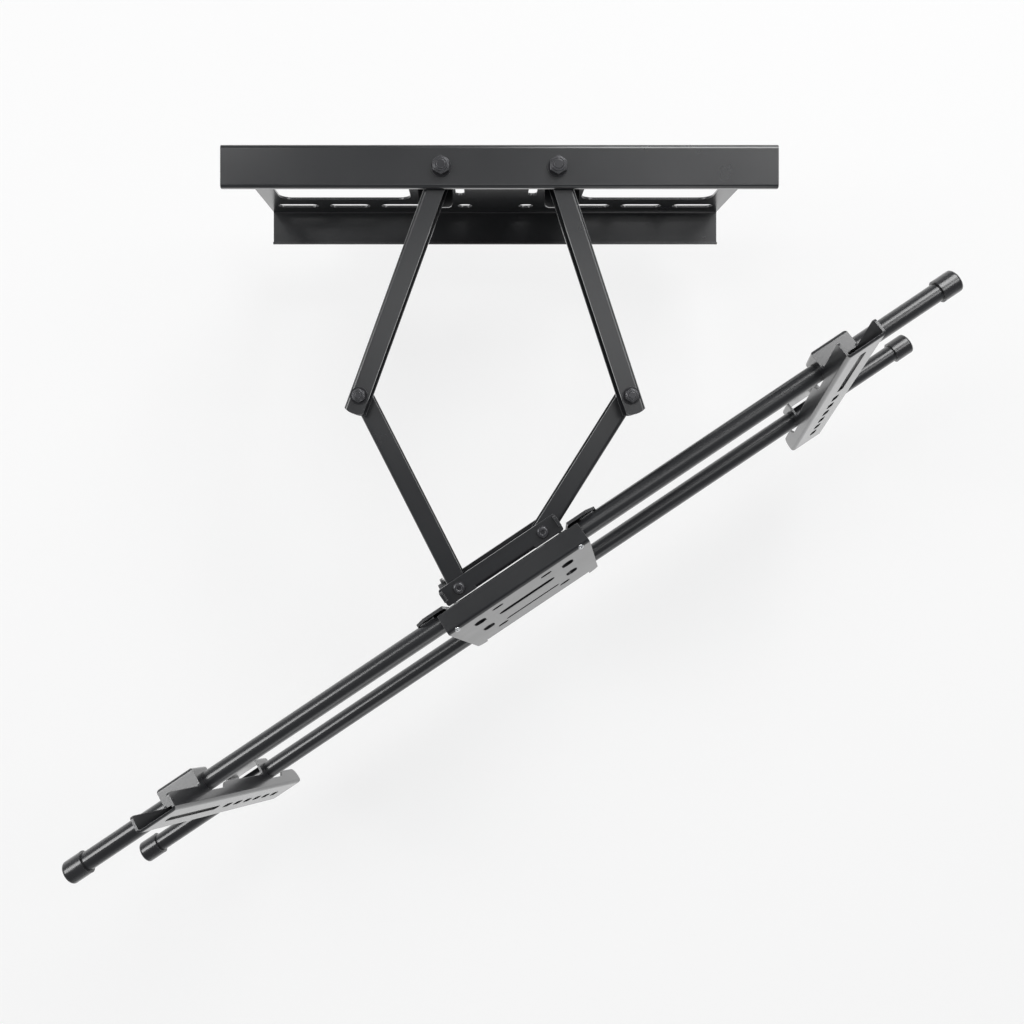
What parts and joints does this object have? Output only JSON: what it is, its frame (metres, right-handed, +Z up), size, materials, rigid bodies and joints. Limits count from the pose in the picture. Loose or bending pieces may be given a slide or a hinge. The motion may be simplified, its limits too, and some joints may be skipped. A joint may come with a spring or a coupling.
{
  "type": "swivel tv wall mount",
  "caption": "Folding twin-arm wall mount for a flat screen: slotted wall plate, jointed channel arms, tilting head and tubes with hook-on screen brackets.",
  "frame": {"origin": "centre of the wall plate's back face, on the wall", "axes": "+Z up, +Y into the wall, +X to the right seen from the screen side"},
  "size_m": [0.7539, 0.6308, 0.289],
  "materials": {
    "black_coat": "satin black powder coat",
    "dark_fastener": "black zinc",
    "washer_steel": "dull steel",
    "cap_plastic": "moulded black"
  },
  "bodies": {
    "wall": {"wall_plate": "black_coat", "pivot_shelf": "black_coat", "left_shoulder_bolt": "dark_fastener", "left_shoulder_washer": "washer_steel", "left_shoulder_nut": "dark_fastener", "left_shoulder_spacer": "washer_steel", "left_shoulder_shim": "washer_steel", "right_shoulder_bolt": "dark_fastener", "right_shoulder_washer": "washer_steel", "right_shoulder_nut": "dark_fastener", "right_shoulder_spacer": "washer_steel", "right_shoulder_shim": "washer_steel"},
    "left_upper": {"left_inner_arm": "black_coat", "left_elbow_bolt": "dark_fastener", "left_elbow_washer": "washer_steel", "left_elbow_nut": "dark_fastener", "left_elbow_shim": "washer_steel"},
    "right_upper": {"right_inner_arm": "black_coat", "right_elbow_bolt": "dark_fastener", "right_elbow_washer": "washer_steel", "right_elbow_nut": "dark_fastener", "right_elbow_shim": "washer_steel"},
    "left_fore": {"left_outer_arm": "black_coat"},
    "right_fore": {"right_outer_arm": "black_coat"},
    "head": {"swivel_bracket": "black_coat", "left_head_bolt": "dark_fastener", "left_head_nut": "dark_fastener", "left_head_upper_shim": "washer_steel", "left_head_lower_shim": "washer_steel", "left_tilt_bolt": "dark_fastener", "left_tilt_nut": "dark_fastener", "left_tilt_washer": "washer_steel", "right_head_bolt": "dark_fastener", "right_head_nut": "dark_fastener", "right_head_upper_shim": "washer_steel", "right_head_lower_shim": "washer_steel", "right_tilt_bolt": "dark_fastener", "right_tilt_nut": "dark_fastener", "right_tilt_washer": "washer_steel"},
    "screen_frame": {"face_plate": "black_coat", "clamp_plate": "black_coat", "upper_tube": "black_coat", "lower_tube": "black_coat", "upper_left_cap": "cap_plastic", "lower_left_cap": "cap_plastic", "left_tube_screw": "dark_fastener", "upper_right_cap": "cap_plastic", "lower_right_cap": "cap_plastic", "right_tube_screw": "dark_fastener"},
    "left_hook": {"left_screen_bracket": "black_coat", "left_lock_screw": "dark_fastener"},
    "right_hook": {"right_screen_bracket": "black_coat", "right_lock_screw": "dark_fastener"}
  },
  "joints": [
    {"name": "left_shoulder", "type": "hinge", "parent": "wall", "child": "left_upper", "pos_m": [-0.046, -0.018, 0.08], "axis": [0, 0, 1], "range_deg": [-48, 4]},
    {"name": "left_elbow", "type": "hinge", "parent": "left_upper", "child": "left_fore", "pos_m": [-0.1114, -0.198, 0.08], "axis": [0, 0, 1], "range_deg": [-4, 35]},
    {"name": "swivel", "type": "hinge", "parent": "left_fore", "child": "head", "pos_m": [-0.0323, -0.3533, 0.08], "axis": [0, 0, 1], "range_deg": [-46, 5]},
    {"name": "right_shoulder", "type": "hinge", "parent": "wall", "child": "right_upper", "pos_m": [0.046, -0.018, 0.08], "axis": [0, 0, 1], "range_deg": [-42, 4]},
    {"name": "right_elbow", "type": "hinge", "parent": "right_upper", "child": "right_fore", "pos_m": [0.1047, -0.198, 0.08], "axis": [0, 0, 1], "range_deg": [-4, 36]},
    {"name": "tilt", "type": "hinge", "parent": "head", "child": "screen_frame", "pos_m": [0.00064, -0.32884, 0.033], "axis": [0.8309, 0.5564, 0], "range_deg": [0, 25]},
    {"name": "left_slide", "type": "slide", "parent": "screen_frame", "child": "left_hook", "axis": [0.8309, 0.5564, 0], "range_m": [-0.07, 0.2]},
    {"name": "right_slide", "type": "slide", "parent": "screen_frame", "child": "right_hook", "axis": [0.8309, 0.5564, 0], "range_m": [-0.2, 0.07]}
  ],
  "couplings": [
    {"joint": "left_elbow", "follows": "left_shoulder", "ratio": -0.7175},
    {"joint": "swivel", "follows": "left_shoulder", "ratio": 0.9346},
    {"joint": "right_shoulder", "follows": "left_shoulder", "ratio": 0.8544},
    {"joint": "right_elbow", "follows": "left_shoulder", "ratio": -0.72}
  ]
}
